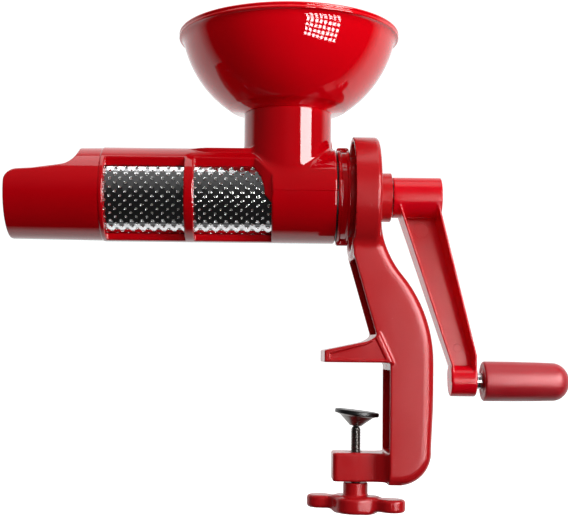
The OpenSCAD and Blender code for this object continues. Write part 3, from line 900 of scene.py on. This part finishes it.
def pad():
    """Pressed cup round the ball, and its rubber face with a groove near the edge."""
    inner = arc(0, BALL_Z, 4.2, -48, 55, 10)
    outer = [(4.6, CUP_LOW), (6, CUP_LOW + 1.4), (13.2, CUP_TOP - 1.7), (CUP_R, CUP_TOP - 0.9),
             (CUP_R, CUP_TOP), (4.4, CUP_TOP)]
    cup = ([(3.4, CUP_LOW), (4.6, CUP_LOW)] + rounded(outer, [0, 1, 1.5, 0.3, 0.3, 0])
           + [(4.4, BALL_Z + 3.6)] + inner[::-1][1:])
    obj = lathe("pad_cup_pressing", cup, (0, 0, 0), Z, closed=True)
    place(tilted(obj), "pad", "screw_steel", SCREW_STEEL, "pad_cup")
    rubber = rounded([(0, CUP_TOP), (15.35, CUP_TOP), (15.35, CUP_TOP - 0.6), (PAD_R, CUP_TOP - 0.6),
                      (PAD_R, PAD_TOP), (15.6, PAD_TOP), (14.9, PAD_TOP - 0.7), (13.6, PAD_TOP - 0.7),
                      (12.9, PAD_TOP), (0, PAD_TOP)], [0, 0.1, 0.2, 0.7, 1.0, 0.3, 0.3, 0.3, 0.3, 0])
    obj = lathe("pad_rubber_face", rubber, (0, 0, 0), Z)
    place(tilted(obj), "pad", "black_rubber", BLACK_RUBBER, "pad_rubber")


# ---- crank ----

CRANK_TOP = 4
BOSS_X = (74.4, BOSS_X1)
BOSS_R = GRIP_Z - span("crank_arm", Z)[0]
HUB_X = (HUB_X0, 66)
CRANK_HALF = 14.5
CRANK_FLOOR = CRANK_HALF - 2.5
CRANK_TAPER = 4.7                # the arm is this much narrower on each side at the grip
SOCKET_HALF, SOCKET_END = 4.55, 57


def crank_outline(inset):
    """Side view of the arm with its two walls moved in, as (x, z)."""
    a, b = BOSS_X[0] + 0.2 + inset, BOSS_X[1] - 0.2 - inset
    return outline([(27.8 + inset, AXIS_Z + CRANK_TOP), (61 - inset, AXIS_Z + CRANK_TOP),
                    (b, GRIP_Z + BOSS_R + 8), (b, GRIP_Z), (a, GRIP_Z), (a, GRIP_Z + 12)])


CRANK_OUT, CRANK_IN = crank_outline(0), crank_outline(2)


def crank_field(x, y, z):
    """Channel-shaped arm, hub and boss, less the square socket, the screw's recess and the bores."""
    h = z - AXIS_Z
    narrow = CRANK_TAPER * np.clip(-h / (AXIS_Z - GRIP_Z), 0, 1)
    arm = blend_max(CRANK_OUT(x, z), np.abs(y) - CRANK_HALF + narrow, 0.9)
    hollow = np.maximum(CRANK_IN(x, z), y - CRANK_FLOOR + narrow)
    hollow = np.maximum(hollow, GRIP_Z - z)
    arm = blend_max(arm, -hollow, 0.9)
    hub = blend_max(tube(y, h, HUB_R), slab(x, *HUB_X), 0.8)
    boss = blend_max(tube(y, z - GRIP_Z, BOSS_R), slab(x, *BOSS_X), 1.4)
    solid = blend_min(blend_min(arm, hub, 1.4), boss, 1.6)
    socket = np.maximum(np.maximum(np.abs(y), np.abs(h)) - SOCKET_HALF, x - SOCKET_END)
    recess = np.maximum(tube(y, h, 8), HUB_X[1] - 5 - x)
    bore = np.minimum(tube(y, h, 2.8), np.maximum(tube(y, z - GRIP_Z, 4), BOSS_X[0] + 2 - x))
    return blend_max(solid, -np.minimum(np.minimum(socket, recess), np.maximum(bore, 30 - x)), 0.5)


def torus(centre, major, minor, segments=48, sides=10):
    """Vertices and faces of a small ring that stands on the crank's floor."""
    verts, faces = [], []
    for i in range(segments):
        a = 2 * math.pi * i / segments
        for k in range(sides):
            s = 2 * math.pi * k / sides
            r = major + minor * math.cos(s)
            verts.append((centre[0] + r * math.cos(a), centre[1] + minor * math.sin(s),
                          centre[2] + r * math.sin(a)))
            n, m = (i + 1) % segments, (k + 1) % sides
            faces.append([i * sides + k, i * sides + m, n * sides + m, n * sides + k])
    return verts, faces


def crank():
    """The moulding, with two small raised rings on the floor of its channel."""
    moulding = whole("crank_moulding", crank_field, "crank_arm", 0.9)
    place(moulding, "crank", "crank_red", CRANK_RED, "crank_arm")
    for name, x, z, r in (("crank_ring_large", 53, 107, 6), ("crank_ring_small", 82, 12, 3.4)):
        narrow = CRANK_TAPER * (AXIS_Z - z) / (AXIS_Z - GRIP_Z)
        obj = mesh_object(name, *torus((x, CRANK_FLOOR - narrow, z), r, 0.35))
        tidy_normals(obj)
        place(obj, "crank", "crank_red", CRANK_RED)


def socket_screw_field(x, y, z):
    """Shank and round head with a hexagonal socket."""
    h = z - AXIS_Z
    x0, x1 = span("crank_screw", X)
    shank = blend_max(tube(y, h, 2.5), slab(x, x0, x1), 0.5)
    head = blend_max(tube(y, h, 5), slab(x, x1 - 3.4, x1), 1.0)
    flat = np.maximum(np.abs(y), np.abs(h) * math.sqrt(3) / 2 + np.abs(y) / 2) - 2.1
    return blend_max(np.minimum(shank, head), -np.maximum(flat, x1 - 2 - x), 0.3)


def crank_fastening():
    """The screw that holds the crank on its shaft, and the grip's axle."""
    screw = whole("socket_screw", socket_screw_field, "crank_screw", 0.35)
    place(screw, "crank", "screw_steel", SCREW_STEEL, "crank_screw")
    x0, x1 = span("grip_axle", X)
    shoulder = GRIP_X[0] - 0.3
    profile = rounded([(0, x0), (4, x0), (4, BOSS_X[1]), (6.5, BOSS_X[1]), (6.5, shoulder), (4, shoulder),
                       (4, x1), (0, x1)], [0, 0.4, 0.1, 0.4, 0.4, 0.1, 0.6, 0])
    obj = lathe("axle_pin", profile, (0, 0, GRIP_Z), X, 48)
    place(obj, "crank", "shaft_steel", SHAFT_STEEL, "grip_axle")


# ---- grip ----

def grip():
    """Round handle with a domed end and a blind bore for the axle."""
    x0, x1 = GRIP_X
    dome = 13
    tip = GRIP_R - 0.8
    flat = x1 - dome
    bore, depth = 4.06, 52
    angles = [math.radians(5 * k) for k in range(18)]
    end = [(tip * math.cos(t), flat + dome * math.sin(t)) for t in angles]
    profile = ([(0, x0 + depth), (bore, x0 + depth), (bore, x0 + 0.6), (bore + 0.6, x0), (8.6, x0),
                (9.0, x0 + 0.5), (10.4, x0 + 0.5), (10.8, x0), (GRIP_R - 1.8, x0)]
               + arc(GRIP_R - 1.6, x0 + 1.6, 1.6, -85, 0, 8)
               + [(GRIP_R, x0 + 6), (GRIP_R - 0.1, x0 + 24), (GRIP_R - 0.4, x0 + 42)] + end
               + [(0, x1)])
    obj = lathe("grip_handle", profile, (0, 0, GRIP_Z), X, 120)
    place(obj, "grip", "grip_red", GRIP_RED, "hand_grip")


barrel()
screen()
stand()
ring()
bowl()
auger()
spring()
small_rings()
plain_nodes()
clamp_screw()
knob()
pad()
crank()
crank_fastening()
grip()


# ---- camera, light and floor ----

def camera():
    """Low and far, a little pitched up; the shift centres the frame as the view needs."""
    lens = bpy.data.cameras.new("camera")
    lens.sensor_width = 36
    lens.lens = 67.5
    lens.shift_x, lens.shift_y = 0.0382, 0.0811
    obj = bpy.data.objects.new("camera", lens)
    bpy.context.scene.collection.objects.link(obj)
    obj.location = (-0.075, -0.850, 0.008)
    obj.rotation_euler = (math.radians(92.5), math.radians(-0.65), 0)
    bpy.context.scene.camera = obj


def world():
    """White backdrop behind the object, a dim room in front of it."""
    scene = bpy.context.scene
    scene.world = bpy.data.worlds.new("studio")
    scene.world.use_nodes = True
    tree = scene.world.node_tree
    back = tree.nodes["Background"]
    coords = add(tree, "ShaderNodeTexCoord")
    split = add(tree, "ShaderNodeSeparateXYZ")
    tree.links.new(coords.outputs["Generated"], split.inputs["Vector"])
    room = ramp(tree, split.outputs["Z"], 0.01, 0.16, 0.0, 0.9)
    backdrop = ramp(tree, split.outputs["Y"], 0.0, 1.1, 0.13, 0.42)
    ray = add(tree, "ShaderNodeLightPath")
    level = room
    for source in (backdrop, ray.outputs["Is Camera Ray"]):
        brighter = add(tree, "ShaderNodeMath", operation="MAXIMUM")
        tree.links.new(level, brighter.inputs[0])
        tree.links.new(source, brighter.inputs[1])
        level = brighter.outputs[0]
    tree.links.new(level, back.inputs["Strength"])
    back.inputs["Color"].default_value = (1, 1, 1, 1)


def stand_at(obj, spot, aim):
    """Puts a light at a spot, facing the point it is aimed at."""
    obj.location = spot
    obj.rotation_euler = (Vector(aim) - Vector(spot)).to_track_quat("-Z", "Y").to_euler()


def softbox(name, spot, aim, size, power, reflected=True, lights=True):
    """Area light; it shows in mirrors only if reflected, and lights matt surfaces only if lights."""
    light = bpy.data.lights.new(name, "AREA")
    light.shape = "RECTANGLE"
    light.size, light.size_y = size
    light.energy = power
    obj = bpy.data.objects.new(name, light)
    bpy.context.scene.collection.objects.link(obj)
    stand_at(obj, spot, aim)
    obj.visible_glossy = reflected
    obj.visible_diffuse = lights


def glow(name, strength):
    """Plain white emission."""
    material = bpy.data.materials.new(name)
    material.use_nodes = True
    tree = material.node_tree
    tree.nodes.clear()
    light = add(tree, "ShaderNodeEmission", Strength=strength)
    tree.links.new(light.outputs[0], add(tree, "ShaderNodeOutputMaterial").inputs["Surface"])
    return material


def grid_softbox(spot, aim, size, cells, strength):
    """Softbox behind a square grid: a sheet of small lit panes."""
    verts, faces = [], []
    pitch = [s / n for s, n in zip(size, cells)]
    for i in range(cells[0]):
        for j in range(cells[1]):
            x, y = i * pitch[0] - size[0] / 2, j * pitch[1] - size[1] / 2
            n = len(verts)
            verts += [(x + pitch[0] * a, y + pitch[1] * b, 0)
                      for a, b in ((0.2, 0.2), (0.8, 0.2), (0.8, 0.8), (0.2, 0.8))]
            faces.append((n, n + 3, n + 2, n + 1))
    obj = mesh_object("grid_softbox", np.array(verts) / MM, faces, smooth=False)
    obj.data.materials.append(glow("softbox_glow", strength))
    stand_at(obj, spot, aim)
    obj.visible_camera = False
    obj.visible_diffuse = False


def floor():
    """Pale floor below the knob at the end of its travel; the mirrors don't see it."""
    travel = 20
    z = KNOB_Z[0] - travel
    reach = 6000
    obj = mesh_object("floor", [(-reach, -reach, z), (reach, -reach, z), (reach, reach, z),
                                (-reach, reach, z)], [(0, 1, 2, 3)], smooth=False)
    material, _, shader = nodes_of("pale_floor")
    shader.inputs["Base Color"].default_value = (0.9, 0.9, 0.9, 1)
    shader.inputs["Roughness"].default_value = 0.8
    shader.inputs["Emission Color"].default_value = (1, 1, 1, 1)
    shader.inputs["Emission Strength"].default_value = 0.75
    obj.data.materials.append(material)
    obj.visible_glossy = False
    obj.visible_diffuse = False


camera()
world()
floor()
grid_softbox((0.51, -0.82, 0.0), (-0.05, -0.05, 0.2), (0.68, 0.62), (8, 7), 26)
softbox("strip", (0.73, -0.73, 0.42), (-0.057, 0, 0.185), (0.58, 0.6), 18, lights=False)
softbox("overhead", (-0.1, -0.15, 1.1), (-0.08, 0, 0.1), (1.3, 0.6), 5)
softbox("key", (1.0, -0.95, 0.45), (-0.05, 0, 0.07), (0.4, 0.4), 14, reflected=False)
softbox("front_fill", (0.1, -1.5, 0.45), (-0.05, 0, 0.07), (0.8, 0.6), 5.5, reflected=False)
softbox("low_fill", (0.3, -1.4, -0.05), (-0.05, 0, 0.15), (0.8, 0.3), 2, reflected=False)
bpy.context.scene.view_settings.view_transform = "Standard"
